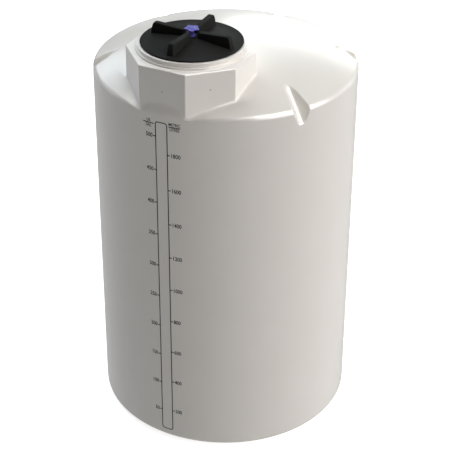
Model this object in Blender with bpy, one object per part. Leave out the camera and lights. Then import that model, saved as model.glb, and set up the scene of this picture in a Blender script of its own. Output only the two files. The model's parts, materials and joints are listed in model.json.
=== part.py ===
"""Vertical polyethylene chemical storage tank, 48 inch diameter, about 525 US gallons.

Metres, +Z up. The origin is the middle of the base, and the manway is towards -Y.
"""
import bpy
import bmesh
from math import asin, atan2, cos, pi, radians, sin, tan
from mathutils import Vector

# Shell
TANK_RADIUS = 0.6096        # 48 in outside diameter
SHELL = 0.0060              # moulded wall thickness
GAP = 0.0003                # seam between touching pieces
HEEL_RADIUS = 0.0285        # rounded edge of the base
SHOULDER_Z = 1.7475         # where the straight wall ends
SHOULDER_RADIUS = 0.029
DOME_SLOPE = radians(20)    # slope of the dome where it leaves the shoulder
ROOF_SEAM_Z = 1.690         # wall pieces end here, roof pieces begin
WALL_PIECES = 12
ROOF_PIECES = 6
FACET = radians(3)
SHOULDER_STEPS = 4
DOME_STEPS = 6
CUTTER_REACH = 0.1          # how far cutters stand past what they cut

# Tie-down grooves across the shoulder, about 60 degrees apart except at the manway
GROOVE_ANGLES = [radians(a) for a in (60, 121.5, 180, 238.5, 300)]
GROOVE_INNER = Vector((0.463, 1.8135))      # radius and height of the floor's ends
GROOVE_OUTER = Vector((0.6096, 1.7045))
GROOVE_AIM_Y = 0.12                         # their lines meet behind the manway, as tie-down cables do
GROOVE_FLOOR_RADIUS = 0.028
GROOVE_HALF_ANGLE = radians(27)
GROOVE_FLOOR_STEPS = 8
GROOVE_DEPTH = 0.14                         # how far the cutter reaches above the floor
GROOVE_RUN_OUT = 0.16                       # and past each end

# Octagonal manway collar
MANWAY_Y = -0.3243
COLLAR_FRONT = 0.270        # centre to the front, front corner and side faces
COLLAR_REAR = 0.250         # centre to the rear and rear corner faces
COLLAR_TOP_Z = 1.958
COLLAR_FOOT_Z = 1.7645
COLLAR_EDGE = 0.007         # rounding of its upright edges
COLLAR_EDGE_STEPS = 3
DECK_EDGE = 0.0054           # rounding around the deck
DECK_EDGE_STEPS = 3

# Neck ring, a moulded channel that the lid's thread screws into
NECK_RADIUS = 0.2388
NECK_BORE = 0.207
NECK_TOP_Z = 1.9845
NECK_BOTTOM_Z = 1.936
NECK_LEDGE = 0.0075         # step around the foot of the neck
NECK_LEDGE_HEIGHT = 0.009
NECK_EDGE = 0.003
NECK_EDGE_STEPS = 3
NECK_PIECES = 14
ROUND_STEPS = 84

# Lid, turning about the middle of the neck
LID_RADIUS = 0.2268
GASKET_WIDTH = (0.2095, 0.2245)
GASKET_THICKNESS = 0.002
LID_FLANGE = 0.005
LID_EDGE_STEPS = 4
LID_FLAT_RADIUS = 0.190     # the cone starts inside this radius
LID_BOSS_RADIUS = 0.034
LID_RISE = 0.019
LID_WALL = 0.005
LID_PLUG_RADIUS = 0.2000    # at the root of its thread, which is left out
LID_PLUG_DEPTH = 0.040
VENT_HOLE = 0.008

# Lugs for turning the lid
LUG_COUNT = 4
LUG_TOP_WIDTH = 0.026
LUG_DRAFT = radians(4)      # each side leans in from its foot
LUG_INNER = 0.036
LUG_OUTER = 0.1975          # at the foot, the outer end leans inwards
LUG_TOP_INNER_Z = 2.036
LUG_TOP_OUTER_Z = 2.044
LUG_LEAN = radians(11)
LUG_CORNER = 0.012
LUG_CORNER_STEPS = 4
LUG_WALL = 0.004
LUG_HOLLOW_REACH = 0.02     # the hollow's cutter stands this far below its foot

# Vent in the middle of the lid
VENT_TOP_Z = 2.048
VENT_CAP_THICKNESS = 0.007
VENT_CAP_RADIUS = 0.0335
VENT_LOBES = 5
VENT_LOBE_DEPTH = 0.0035
VENT_CAP_STEPS = 60
VENT_CAP_CROWN = 0.7        # how far the cap's rounded edge draws in, of its half thickness
VENT_STEM_RADIUS = 0.012
VENT_STEM_WALL = 0.0035
VENT_FOOT_RADIUS = 0.017
VENT_FOOT_HEIGHT = 0.004
VENT_STEPS = 24


def clear_scene():
    for ob in list(bpy.data.objects):
        bpy.data.objects.remove(ob, do_unlink=True)


def make_material(name, colour, roughness):
    material = bpy.data.materials.new(name)
    material.use_nodes = True
    shader = material.node_tree.nodes["Principled BSDF"]
    shader.inputs["Base Color"].default_value = (*colour, 1)
    shader.inputs["Roughness"].default_value = roughness
    shader.inputs["Metallic"].default_value = 0
    return material


def make_object(name, bm, material=None, smooth=True):
    bmesh.ops.recalc_face_normals(bm, faces=bm.faces)
    mesh = bpy.data.meshes.new(name)
    bm.to_mesh(mesh)
    bm.free()
    if smooth:
        mesh.shade_smooth()
        mesh.set_sharp_from_angle(angle=radians(30))
    ob = bpy.data.objects.new(name, mesh)
    bpy.context.scene.collection.objects.link(ob)
    if material:
        mesh.materials.append(material)
    return ob


def make_cutter(ob):
    ob.hide_render = True
    ob.display_type = "WIRE"
    return ob


def boolean(ob, cutter, operation="DIFFERENCE"):
    modifier = ob.modifiers.new(cutter.name, "BOOLEAN")
    modifier.operation = operation
    modifier.solver = "EXACT"
    modifier.object = cutter


def arc(centre, radius, start, end, steps):
    """Points of an arc in the radius and height plane, both ends included."""
    angles = [start + (end - start) * i / steps for i in range(steps + 1)]
    return [(centre[0] + radius * cos(a), centre[1] + radius * sin(a)) for a in angles]


def turned(outline, steps, start=0.0, sweep=2 * pi):
    """A closed outline of (radius, height) points turned about Z, whole or as a sector.

    Angles run from the manway side, -Y, towards +X. The flat sides of a sector stand half
    a seam inside their angles.
    """
    bm = bmesh.new()
    whole = sweep > 2 * pi - 1e-6
    stations = steps if whole else steps + 1
    seam = 0 if whole else GAP / 2
    tip = seam / sin(sweep / 2) if seam else 0
    middle = start + sweep / 2
    rings = []
    poles = {}
    for i in range(stations):
        side = (i == 0) - (i == steps)
        ring = []
        for k, (r, z) in enumerate(outline):
            if r < 1e-6:
                if k not in poles:
                    poles[k] = bm.verts.new((tip * sin(middle), -tip * cos(middle), z))
                ring.append(poles[k])
            else:
                angle = start + sweep * i / steps + side * asin(seam / r)
                ring.append(bm.verts.new((r * sin(angle), -r * cos(angle), z)))
        rings.append(ring)
    if whole:
        rings.append(rings[0])
    else:
        bm.faces.new(rings[0])
        bm.faces.new(list(reversed(rings[-1])))
    count = len(outline)
    for a, b in zip(rings, rings[1:]):
        for k in range(count):
            corners = [a[k], b[k], b[(k + 1) % count], a[(k + 1) % count]]
            kept = [v for j, v in enumerate(corners) if v not in corners[:j]]
            if len(kept) > 2:
                bm.faces.new(kept)
    return bm


def lofted(loops):
    """A closed solid through loops of as many points each, from the bottom to the top."""
    bm = bmesh.new()
    rows = [[bm.verts.new(p) for p in loop] for loop in loops]
    count = len(rows[0])
    for low, high in zip(rows, rows[1:]):
        for k in range(count):
            j = (k + 1) % count
            bm.faces.new((low[k], low[j], high[j], high[k]))
    bm.faces.new(list(reversed(rows[0])))
    bm.faces.new(rows[-1])
    return bm


def shell_outline(inset):
    """Shoulder and dome from the wall to the axis, moved inward by inset."""
    shoulder = (TANK_RADIUS - SHOULDER_RADIUS, SHOULDER_Z)
    edge = arc(shoulder, SHOULDER_RADIUS - inset, 0, pi / 2 - DOME_SLOPE, SHOULDER_STEPS)
    dome_radius = shoulder[0] / sin(DOME_SLOPE) + SHOULDER_RADIUS
    centre_z = shoulder[1] - (dome_radius - SHOULDER_RADIUS) * cos(DOME_SLOPE)
    dome = arc((0, centre_z), dome_radius - inset, pi / 2 - DOME_SLOPE, pi / 2, DOME_STEPS)
    dome[-1] = (0, dome[-1][1])
    return edge + dome[1:]


def make_floor(material):
    centre = (TANK_RADIUS - HEEL_RADIUS, HEEL_RADIUS)
    outside = arc(centre, HEEL_RADIUS, -pi / 2, 0, SHOULDER_STEPS)
    inside = arc(centre, HEEL_RADIUS - SHELL, 0, -pi / 2, SHOULDER_STEPS)
    outline = [(0, 0)] + outside + inside + [(0, SHELL)]
    make_object("tank_floor", turned(outline, round(2 * pi / FACET)), material)


def make_wall(material):
    sweep = 2 * pi / WALL_PIECES
    inner = TANK_RADIUS - SHELL
    low, high = HEEL_RADIUS + GAP, ROOF_SEAM_Z - GAP
    outline = [(inner, low), (TANK_RADIUS, low), (TANK_RADIUS, high), (inner, high)]
    for i in range(WALL_PIECES):
        bm = turned(outline, round(sweep / FACET), (i - 0.5) * sweep, sweep)
        make_object(f"wall_{i + 1:02d}", bm, material)


def groove_section(grow):
    """Half-width and height points of a groove: two flanks and a rounded floor."""
    radius = GROOVE_FLOOR_RADIUS + grow
    lean = GROOVE_HALF_ANGLE
    floor = arc((0, GROOVE_FLOOR_RADIUS), radius, pi + lean, 2 * pi - lean, GROOVE_FLOOR_STEPS)
    side, height = floor[-1]
    top = side + (GROOVE_DEPTH - height) * tan(lean)
    return [(-top, GROOVE_DEPTH)] + floor + [(top, GROOVE_DEPTH)]


def make_groove_cutter(name, angle, grow):
    along = (GROOVE_OUTER - GROOVE_INNER).normalized()
    up = Vector((-along.y, along.x))
    ends = (GROOVE_INNER - along * GROOVE_RUN_OUT, GROOVE_OUTER + along * GROOVE_RUN_OUT)
    x, y = TANK_RADIUS * sin(angle), -TANK_RADIUS * cos(angle)
    aim = atan2(x, GROOVE_AIM_Y - y)
    loops = []
    for end in ends:
        loop = []
        for side, height in groove_section(grow):
            r, z = end + up * height
            out = r - TANK_RADIUS
            loop.append((x + out * sin(aim) + side * cos(aim), y + side * sin(aim) - out * cos(aim), z))
        loops.append(loop)
    return make_cutter(make_object(name, lofted(loops), smooth=False))


def collar_loop(grow, z, edge):
    """The collar's outline at height z, grown outwards, with rounded corners."""
    reach = [COLLAR_FRONT] * 3 + [COLLAR_REAR] * 3 + [COLLAR_FRONT] * 2
    faces = [(i * pi / 4, reach[i] + grow) for i in range(8)]
    loop = []
    for (a, d), (b, e) in zip(faces, faces[1:] + faces[:1]):
        middle = a + pi / 8
        inset_a, inset_b = d - edge, e - edge
        span = pi / 4
        along = (inset_b - inset_a * cos(span)) / sin(span)
        x = inset_a * sin(a) + along * cos(a)
        y = -inset_a * cos(a) + along * sin(a)
        for i in range(COLLAR_EDGE_STEPS + 1):
            turn = middle - pi / 8 + span * i / COLLAR_EDGE_STEPS
            loop.append((x + edge * sin(turn), y - edge * cos(turn), z))
    return loop


def make_roof(material, tank_space, manway_hole):
    outline = [(0, ROOF_SEAM_Z), (TANK_RADIUS, ROOF_SEAM_Z)] + shell_outline(0)
    cutters = [make_groove_cutter(f"groove_{i + 1}", a, 0) for i, a in enumerate(GROOVE_ANGLES)]
    names = ("front_right", "right", "rear_right", "rear_left", "left", "front_left")
    for i in range(ROOF_PIECES):
        sweep = 2 * pi / ROOF_PIECES
        bm = turned(outline, round(sweep / FACET), i * sweep, sweep)
        ob = make_object(f"roof_{names[i]}", bm, material)
        boolean(ob, tank_space)
        for angle, cutter in zip(GROOVE_ANGLES, cutters):
            if min(abs(angle - i * sweep), abs(angle - (i + 1) * sweep)) < FACET:
                boolean(ob, cutter)
        if i in (0, ROOF_PIECES - 1):
            boolean(ob, manway_hole)


def make_tank_space():
    """The space inside the roof, with the grooves' troughs standing into it."""
    low = ROOF_SEAM_Z - CUTTER_REACH
    outline = [(0, low), (TANK_RADIUS - SHELL, low)] + shell_outline(SHELL)
    plain = make_cutter(make_object("dome_space", turned(outline, round(2 * pi / FACET), FACET / 2)))
    grooved = make_cutter(make_object("tank_space", turned(outline, round(2 * pi / FACET), FACET / 2)))
    for i, angle in enumerate(GROOVE_ANGLES):
        boolean(grooved, make_groove_cutter(f"trough_{i + 1}", angle, SHELL))
    return plain, grooved


def make_collar(material, axis, dome_space):
    top = COLLAR_TOP_Z - SHELL - GAP
    loops = [collar_loop(0, z, COLLAR_EDGE) for z in (COLLAR_FOOT_Z, top)]
    walls = make_object("manway_collar", lofted(loops), material)
    ends = (COLLAR_FOOT_Z - CUTTER_REACH, top + CUTTER_REACH)
    inner = [collar_loop(-SHELL, z, COLLAR_EDGE - SHELL) for z in ends]
    space = make_cutter(make_object("collar_space", lofted(inner)))
    for ob in (walls, space):
        ob.parent = axis
    boolean(walls, space)
    boolean(walls, dome_space)


def make_deck(material, axis):
    loops = [collar_loop(0, COLLAR_TOP_Z - SHELL, COLLAR_EDGE)]
    for i in range(DECK_EDGE_STEPS + 1):
        turn = pi / 2 * i / DECK_EDGE_STEPS
        inset = DECK_EDGE * (1 - cos(turn))
        z = COLLAR_TOP_Z - DECK_EDGE * (1 - sin(turn))
        loops.append(collar_loop(-inset, z, COLLAR_EDGE - inset))
    deck = make_object("manway_deck", lofted(loops), material)
    hole_radius = NECK_RADIUS - SHELL
    low, high = COLLAR_TOP_Z - CUTTER_REACH, COLLAR_TOP_Z + CUTTER_REACH
    hole = turned([(0, low), (hole_radius, low), (hole_radius, high), (0, high)], ROUND_STEPS)
    cutter = make_cutter(make_object("deck_hole", hole))
    for ob in (deck, cutter):
        ob.parent = axis
    boolean(deck, cutter)


def make_manway_hole(axis):
    ends = (COLLAR_FOOT_Z - GAP, COLLAR_TOP_Z + CUTTER_REACH)
    loops = [collar_loop(GAP, z, COLLAR_EDGE + GAP) for z in ends]
    cutter = make_cutter(make_object("manway_hole", lofted(loops)))
    cutter.parent = axis
    return cutter


def make_neck(material, axis):
    """A channel with its open side down: outer wall, rim and the wall that holds the thread."""
    foot = COLLAR_TOP_Z + GAP
    ledge_z = foot + NECK_LEDGE_HEIGHT
    rim_z = NECK_TOP_Z - NECK_EDGE
    outer, bore = NECK_RADIUS, NECK_BORE
    outline = [(bore, NECK_BOTTOM_Z), (bore + SHELL, NECK_BOTTOM_Z)]
    outline += [(bore + SHELL, NECK_TOP_Z - SHELL), (outer - SHELL, NECK_TOP_Z - SHELL)]
    outline += [(outer - SHELL, foot), (outer + NECK_LEDGE, foot)]
    outline += [(outer + NECK_LEDGE, ledge_z - NECK_EDGE), (outer + NECK_LEDGE - NECK_EDGE, ledge_z)]
    outline += [(outer, ledge_z)]
    outline += arc((outer - NECK_EDGE, rim_z), NECK_EDGE, 0, pi / 2, NECK_EDGE_STEPS)
    outline += arc((bore + NECK_EDGE, rim_z), NECK_EDGE, pi / 2, pi, NECK_EDGE_STEPS)
    sweep = 2 * pi / NECK_PIECES
    for i in range(NECK_PIECES):
        bm = turned(outline, ROUND_STEPS // NECK_PIECES, i * sweep, sweep)
        make_object(f"manway_neck_{i + 1:02d}", bm, material).parent = axis


def lid_levels():
    """Underside and top of the lid's flange."""
    under = NECK_TOP_Z + GASKET_THICKNESS + 2 * GAP
    return under, under + LID_FLANGE


def lid_height(radius):
    """Height of the lid's upper surface at a radius."""
    run = min(max(LID_FLAT_RADIUS - radius, 0) / (LID_FLAT_RADIUS - LID_BOSS_RADIUS), 1)
    return lid_levels()[1] + LID_RISE * run


def make_gasket(material, axis):
    low, high = NECK_TOP_Z + GAP, NECK_TOP_Z + GAP + GASKET_THICKNESS
    inner, outer = GASKET_WIDTH
    outline = [(inner, low), (outer, low), (outer, high), (inner, high)]
    make_object("lid_gasket", turned(outline, ROUND_STEPS), material).parent = axis


def make_lid(material, axis):
    under, over = lid_levels()
    boss = over + LID_RISE
    edge = LID_FLANGE / 2
    outline = [(VENT_HOLE, boss - LID_WALL), (LID_BOSS_RADIUS, boss - LID_WALL)]
    outline += [(LID_FLAT_RADIUS, under)]
    outline += arc((LID_RADIUS - edge, under + edge), edge, -pi / 2, pi / 2, LID_EDGE_STEPS)
    outline += [(LID_FLAT_RADIUS, over), (LID_BOSS_RADIUS, boss), (VENT_HOLE, boss)]
    make_object("lid_plate", turned(outline, ROUND_STEPS), material).parent = axis

    inner, outer = LID_PLUG_RADIUS - LID_WALL, LID_PLUG_RADIUS
    top, bottom = under - GAP, under - LID_PLUG_DEPTH
    outline = [(inner, bottom), (outer, bottom), (outer, top), (inner, top)]
    make_object("lid_thread_ring", turned(outline, ROUND_STEPS), material).parent = axis


def lug_profile(inset):
    """Radius and height points of a lug's side, from its inner foot to its outer foot."""
    inner, outer = LUG_INNER + inset, LUG_OUTER - inset
    slope = (LUG_TOP_OUTER_Z - LUG_TOP_INNER_Z) / (LUG_OUTER - LUG_INNER)
    corner = LUG_CORNER - inset / 2
    top_inner = LUG_TOP_INNER_Z - inset
    top_outer = top_inner + slope * (outer - inner)
    rise = top_outer - corner - lid_height(outer)
    centre = (outer - (corner + sin(LUG_LEAN) * rise) / cos(LUG_LEAN), top_outer - corner)
    rounding = arc(centre, corner, pi / 2, LUG_LEAN, LUG_CORNER_STEPS)
    sunk = LUG_HOLLOW_REACH if inset else -GAP
    feet = [(r, lid_height(r) - sunk) for r in (outer, LID_FLAT_RADIUS, inner)]
    return [(inner, top_inner)] + rounding + feet


def make_lugs(material, axis):
    for i in range(LUG_COUNT):
        angle = i * 2 * pi / LUG_COUNT
        solids = []
        for inset in (0, LUG_WALL):
            loops = []
            for side in (-1, 1):
                loop = []
                for r, z in lug_profile(inset):
                    half_width = LUG_TOP_WIDTH / 2 + (LUG_TOP_OUTER_Z - z) * tan(LUG_DRAFT) - inset
                    x, y = side * half_width, -r
                    loop.append((x * cos(angle) - y * sin(angle), x * sin(angle) + y * cos(angle), z))
                loops.append(loop)
            solids.append(lofted(loops))
        lug = make_object(f"lid_lug_{i + 1}", solids[0], material)
        hollow = make_cutter(make_object(f"lug_hollow_{i + 1}", solids[1]))
        boolean(lug, hollow)
        for ob in (lug, hollow):
            ob.parent = axis


def make_vent(material, axis):
    boss = lid_levels()[1] + LID_RISE + GAP
    under_cap = VENT_TOP_Z - VENT_CAP_THICKNESS
    bore, stem = VENT_STEM_RADIUS - VENT_STEM_WALL, VENT_STEM_RADIUS
    foot = boss + VENT_FOOT_HEIGHT
    outline = [(bore, boss), (VENT_FOOT_RADIUS, boss), (VENT_FOOT_RADIUS, foot), (stem, foot)]
    outline += [(stem, under_cap - GAP), (bore, under_cap - GAP)]
    make_object("vent_stem", turned(outline, VENT_STEPS), material).parent = axis

    loops = []
    edge = VENT_CAP_THICKNESS / 2
    for turn in (-90, -45, 0, 45, 90):
        inset = edge * (1 - cos(radians(turn))) * VENT_CAP_CROWN
        z = under_cap + edge + edge * sin(radians(turn))
        loop = []
        for k in range(VENT_CAP_STEPS):
            angle = 2 * pi * k / VENT_CAP_STEPS
            r = VENT_CAP_RADIUS - inset + VENT_LOBE_DEPTH * cos(VENT_LOBES * angle)
            loop.append((r * sin(angle), -r * cos(angle), z))
        loops.append(loop)
    make_object("vent_cap", lofted(loops), material).parent = axis


def main():
    clear_scene()
    white = make_material("natural_polyethylene", (0.80, 0.79, 0.75), 0.42)
    black = make_material("black_polyethylene", (0.020, 0.020, 0.019), 0.5)
    rubber = make_material("gasket_rubber", (0.012, 0.012, 0.012), 0.8)
    blue = make_material("blue_plastic", (0.10, 0.09, 0.55), 0.4)

    axis = bpy.data.objects.new("manway_axis", None)
    bpy.context.scene.collection.objects.link(axis)
    axis.location = (0, MANWAY_Y, 0)

    make_floor(white)
    make_wall(white)
    dome_space, tank_space = make_tank_space()
    make_roof(white, tank_space, make_manway_hole(axis))
    make_collar(white, axis, dome_space)
    make_deck(white, axis)
    make_neck(white, axis)
    make_gasket(rubber, axis)
    make_lid(black, axis)
    make_lugs(black, axis)
    make_vent(blue, axis)


main()
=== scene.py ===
import json

import bpy
import numpy as np
from mathutils import Matrix


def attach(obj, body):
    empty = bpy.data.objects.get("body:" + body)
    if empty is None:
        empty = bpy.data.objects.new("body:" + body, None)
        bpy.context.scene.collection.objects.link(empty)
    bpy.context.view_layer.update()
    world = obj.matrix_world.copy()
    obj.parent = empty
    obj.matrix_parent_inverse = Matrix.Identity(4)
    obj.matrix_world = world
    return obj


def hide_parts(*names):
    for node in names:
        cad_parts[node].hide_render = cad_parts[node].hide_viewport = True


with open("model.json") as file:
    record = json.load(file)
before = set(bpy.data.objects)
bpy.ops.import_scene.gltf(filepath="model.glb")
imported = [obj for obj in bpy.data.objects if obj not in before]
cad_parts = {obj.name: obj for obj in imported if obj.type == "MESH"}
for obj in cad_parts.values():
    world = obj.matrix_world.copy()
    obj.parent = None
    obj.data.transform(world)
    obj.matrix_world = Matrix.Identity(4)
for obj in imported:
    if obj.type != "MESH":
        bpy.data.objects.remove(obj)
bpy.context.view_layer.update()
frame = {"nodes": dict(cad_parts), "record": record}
print("frame loaded:", len(frame["nodes"]), "nodes")

up = np.array([0.0, 0.0, 1.0])
manwayY = -0.3243  # the collar, neck, lid and vent turn about this point of the plane x = 0
deg = np.radians


def putMesh(name, verts, quads, tris, sharp):
    # Puts arrays into a mesh. The faces are turned round where their volume, the sum of
    # a.(b x c)/6 over a fan of every face, is negative. Edges over sharp degrees aren't smoothed.
    verts = np.asarray(verts, float).reshape(-1, 3)
    quads = np.asarray(quads, np.int64).reshape(-1, 4)
    tris = np.asarray(tris, np.int64).reshape(-1, 3)
    fans = join(quads[:, [0, 1, 2]], quads[:, [0, 2, 3]], tris)
    a, b, c = verts[fans[:, 0]], verts[fans[:, 1]], verts[fans[:, 2]]
    if np.einsum("ij,ij->i", a, np.cross(b, c)).sum() < 0:
        quads, tris = quads[:, ::-1], tris[:, ::-1]
    mesh = bpy.data.meshes.new(name)
    mesh.from_pydata(verts.tolist(), [], quads.tolist() + tris.tolist())
    mesh.validate()
    mesh.shade_smooth()
    mesh.set_sharp_from_angle(angle=deg(sharp))
    return linked(name, mesh)


def linked(name, data):
    # A new object in the scene's own collection.
    item = bpy.data.objects.new(name, data)
    bpy.context.scene.collection.objects.link(item)
    return item


def join(*parts):
    # Arrays one after another, along their first axis.
    return np.concatenate(parts)


def gridFaces(rows, columns, closedRows=False, first=0):
    # Quads between neighbours of a grid whose columns close on themselves:
    # (i, j), (i, j+1), (i+1, j+1), (i+1, j).
    i = np.arange(rows if closedRows else rows - 1)[:, None]
    j = np.arange(columns)[None, :]
    below, beside = (i + 1) % rows, (j + 1) % columns
    return first + np.stack([i * columns + j, i * columns + beside,
                             below * columns + beside, below * columns + j], -1).reshape(-1, 4)


def fanFaces(ring, pole):
    # Triangles from a closed ring of vertex numbers to one pole vertex.
    return np.stack([ring, np.roll(ring, -1), np.full(len(ring), pole)], -1)


def cappedPiece(name, points, poles, sharp):
    # A grid of closed rows, with fans from its first and last rows to the two poles.
    rows, columns = points.shape[:2]
    ring = np.arange(columns)
    tris = join(fanFaces(ring[::-1], rows * columns),
                fanFaces(ring + (rows - 1) * columns, rows * columns + 1))
    verts = join(points.reshape(-1, 3), poles)
    return putMesh(name, verts, gridFaces(rows, columns), tris, sharp)


def arc(cx, cz, radius, start, end, steps):
    # Points centre + radius (cos t, sin t), t evenly spaced from start to end.
    t = np.linspace(start, end, steps + 1)
    return np.stack([cx + radius * np.cos(t), cz + radius * np.sin(t)], -1)


def around(azimuth):
    # Unit vectors (sin a, -cos a, 0).
    return np.stack([np.sin(azimuth), -np.cos(azimuth), np.zeros_like(azimuth)], -1)


def sideways(azimuth):
    # Unit vectors (cos a, sin a, 0), a quarter turn on from around.
    return np.stack([np.cos(azimuth), np.sin(azimuth), np.zeros_like(azimuth)], -1)


def turned(radius, height, azimuth, centreY=manwayY):
    # Points radius (sin a, -cos a, 0) + height (0, 0, 1) from the point (0, centreY, 0), where
    # radius, height and azimuth are numbers or arrays of one grid.
    points = np.asarray(radius)[..., None] * around(azimuth) + np.asarray(height)[..., None] * up
    points[..., 1] += centreY
    return points


def turnedGrid(profile, azimuth, centreY=manwayY):
    # A profile of (radius, height) points turned about the upright line through (0, centreY).
    return turned(profile[:, :1], profile[:, 1:], azimuth, centreY)


def fullTurn(columns):
    # Angles 2 pi k / columns, once round.
    return np.linspace(0, 2 * np.pi, columns, endpoint=False)


def turnedPiece(name, profile, columns, sharp):
    # A closed profile turned about the manway's middle.
    points = turnedGrid(profile, fullTurn(columns))
    return putMesh(name, points, gridFaces(len(profile), columns, True), [], sharp)


def fromFront(phi):
    # How far direction phi is from straight ahead, 0 to pi.
    return np.abs((phi + np.pi) % (2 * np.pi) - np.pi)


def smoothLower(a, b, width):
    # min(a, b) with the crossing rounded: min - max(width - |a - b|, 0)^2 / (4 width).
    return np.minimum(a, b) - np.maximum(width - np.abs(a - b), 0) ** 2 / (4 * width)


def smoothStep(x):
    # 3x^2 - 2x^3: from 0 to 1, level at both ends.
    return x ** 2 * (3 - 2 * x)


def finishPiece(piece, look, body, slot, *nodes):
    # Gives a piece its material and its body, and hides the CAD nodes that it stands for. The slot is not
    # used.
    piece.data.materials.clear()
    piece.data.materials.append(materials[look])
    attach(piece, body)
    if nodes:
        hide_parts(*nodes)


def setSockets(tree, node, values):
    # Gives a node's inputs their values; an output among them is linked instead.
    for label, value in values.items():
        if isinstance(value, bpy.types.NodeSocket):
            tree.links.new(value, node.inputs[label])
        else:
            node.inputs[label].default_value = value
    return node


def newNode(tree, kind, values):
    # A new shader node with its inputs set.
    return setSockets(tree, tree.nodes.new("ShaderNode" + kind), values)


def mathNode(tree, operation, a, b, clamp=False):
    # One operation on a and b, each a number or an output; clamp keeps the result from 0 to 1.
    node = newNode(tree, "Math", {0: a, 1: b})
    node.operation = operation
    node.use_clamp = clamp
    return node.outputs[0]


def noise(tree, place, scale, detail, roughness):
    # Noise at a place: finer and finer layers, each roughness times as strong as the last.
    node = newNode(tree, "TexNoise", {"Vector": place, "Scale": scale, "Detail": detail,
                                      "Roughness": roughness})
    return node.outputs["Fac"]


def newGroup(name, inputs, outputs):
    # A shader group with a position and numbers going in, and numbers coming out.
    group = bpy.data.node_groups.new(name, "ShaderNodeTree")
    group.interface.new_socket("Position", in_out="INPUT", socket_type="NodeSocketVector")
    for label in inputs:
        group.interface.new_socket(label, in_out="INPUT", socket_type="NodeSocketFloat")
    for label in outputs:
        group.interface.new_socket(label, in_out="OUTPUT", socket_type="NodeSocketFloat")
    return group, group.nodes.new("NodeGroupInput").outputs, group.nodes.new("NodeGroupOutput")


mouldNoise = dict(
    fine=(3.0, 0.6), peel=(2.0, 0.5),  # detail and roughness; each material has its own scales
    mottle=(6.0, 1.0, 0.4),  # scale, detail, roughness
    fineShare=0.35, peelShare=0.65,  # of the height
)


def makeMouldGrain():
    # Height = fineShare fine + peelShare peel, two sizes of orange peel; mottle is a slow noise.
    m = mouldNoise
    group, source, sink = newGroup("mouldGrain", ("Grain Scale", "Peel Scale"), ("Height", "Mottle"))
    fine = noise(group, source["Position"], source["Grain Scale"], *m["fine"])
    peel = noise(group, source["Position"], source["Peel Scale"], *m["peel"])
    height = mathNode(group, "ADD", mathNode(group, "MULTIPLY", fine, m["fineShare"]),
                      mathNode(group, "MULTIPLY", peel, m["peelShare"]))
    setSockets(group, sink, {"Height": height, "Mottle": noise(group, source["Position"], *m["mottle"])})
    return group


handlingNoise = dict(
    broad=(9.0, 4.0, 0.62), fine=(85.0, 3.0, 0.6),  # scale, detail, roughness
    begin=0.22, full=0.42,  # the noises' product where the marks begin and where they are full
)


def makeHandling():
    # Mask of light scuffs and dust: amount * ramp(broad * fine), two sizes of noise.
    h = handlingNoise
    group, source, sink = newGroup("handlingMarks", ("Amount",), ("Mask",))
    broad = noise(group, source["Position"], *h["broad"])
    fine = noise(group, source["Position"], *h["fine"])
    ramp = newNode(group, "MapRange", {"Value": mathNode(group, "MULTIPLY", broad, fine),
                                       "From Min": h["begin"], "From Max": h["full"]})
    setSockets(group, sink, {"Mask": mathNode(group, "MULTIPLY", ramp.outputs["Result"],
                                              source["Amount"], True)})
    return group


mouldGrain = makeMouldGrain()
handlingMarks = makeHandling()


def groupNode(tree, group, values):
    # A group placed at the piece's Object coordinates, with its own values.
    node = tree.nodes.new("ShaderNodeGroup")
    node.node_tree = group
    place = tree.nodes.new("ShaderNodeTexCoord").outputs["Object"]
    return setSockets(tree, node, {"Position": place, **values})


def plasticMaterial(name, look):
    # One moulded plastic: colour = mix(plain, marked, mottle + handling), roughness runs from its
    # low to its high value with the same mask, and the grain's height feeds one bump.
    material = bpy.data.materials.new(name)
    material.use_nodes = True
    tree = material.node_tree
    grain = groupNode(tree, mouldGrain, {"Grain Scale": look["grainScale"],
                                         "Peel Scale": look["peelScale"]})
    marks = groupNode(tree, handlingMarks, {"Amount": look["marks"]})
    mottle = mathNode(tree, "MULTIPLY", grain.outputs["Mottle"], look["mottle"])
    mask = mathNode(tree, "ADD", mottle, marks.outputs["Mask"], True)
    colour = tree.nodes.new("ShaderNodeMix")
    colour.data_type = "RGBA"
    setSockets(tree, colour, {"Factor": mask, "A": (*look["plain"], 1), "B": (*look["marked"], 1)})
    low, high = look["roughness"]
    spread = newNode(tree, "MapRange", {"Value": mask, "To Min": low, "To Max": high})
    bump = newNode(tree, "Bump", {"Height": grain.outputs["Height"], "Strength": look["bump"],
                                  "Distance": look["bumpDistance"]})
    setSockets(tree, tree.nodes["Principled BSDF"], {
        "Base Color": colour.outputs["Result"], "Roughness": spread.outputs["Result"],
        "Normal": bump.outputs["Normal"], "IOR": look["ior"], "Specular IOR Level": look["specular"]})
    return material


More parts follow.
